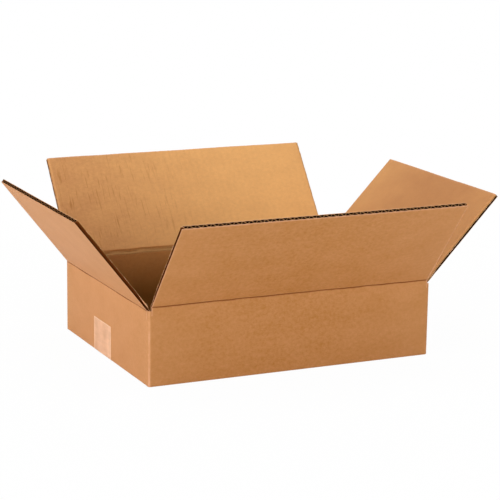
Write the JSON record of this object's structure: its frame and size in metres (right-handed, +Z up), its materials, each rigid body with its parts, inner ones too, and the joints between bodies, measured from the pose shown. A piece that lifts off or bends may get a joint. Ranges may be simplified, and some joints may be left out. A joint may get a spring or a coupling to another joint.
{
  "type": "corrugated cardboard box",
  "caption": "Shallow corrugated cardboard carton, open at the top, with hinged top flaps, walls joined by a glued tab, and bottom flaps folded in and taped shut.",
  "frame": {"origin": "middle of the underside, on the tape, level with the surface that the carton stands on", "axes": "+X along the long sides, +Y from the front long side to the back one, +Z up through the open top"},
  "size_m": [0.4646, 0.3794, 0.1753],
  "materials": {
    "kraft_board": "plain brown kraft liner, matt, with fine fibres",
    "packing_tape": "thin see-through tan film, satin"
  },
  "bodies": {
    "carton": {"carton_body": "kraft_board", "bottom_tape": "packing_tape"},
    "front_flap": {"front_flap": "kraft_board"},
    "right_flap": {"right_flap": "kraft_board"},
    "back_flap": {"back_flap": "kraft_board"},
    "left_flap": {"left_flap": "kraft_board"}
  },
  "joints": [
    {"name": "front_fold", "type": "hinge", "parent": "carton", "child": "front_flap", "pos_m": [0, -0.1175, 0.08], "axis": [1, 0, 0], "range_deg": [-128.7, 93.3]},
    {"name": "right_fold", "type": "hinge", "parent": "carton", "child": "right_flap", "pos_m": [0.1555, 0, 0.0758], "axis": [0, 1, 0], "range_deg": [-133.7, 85.8]},
    {"name": "back_fold", "type": "hinge", "parent": "carton", "child": "back_flap", "pos_m": [0, 0.1175, 0.08], "axis": [-1, 0, 0], "range_deg": [-127.5, 94.5]},
    {"name": "left_fold", "type": "hinge", "parent": "carton", "child": "left_flap", "pos_m": [-0.1555, 0, 0.0758], "axis": [0, -1, 0], "range_deg": [-128.5, 91]}
  ]
}
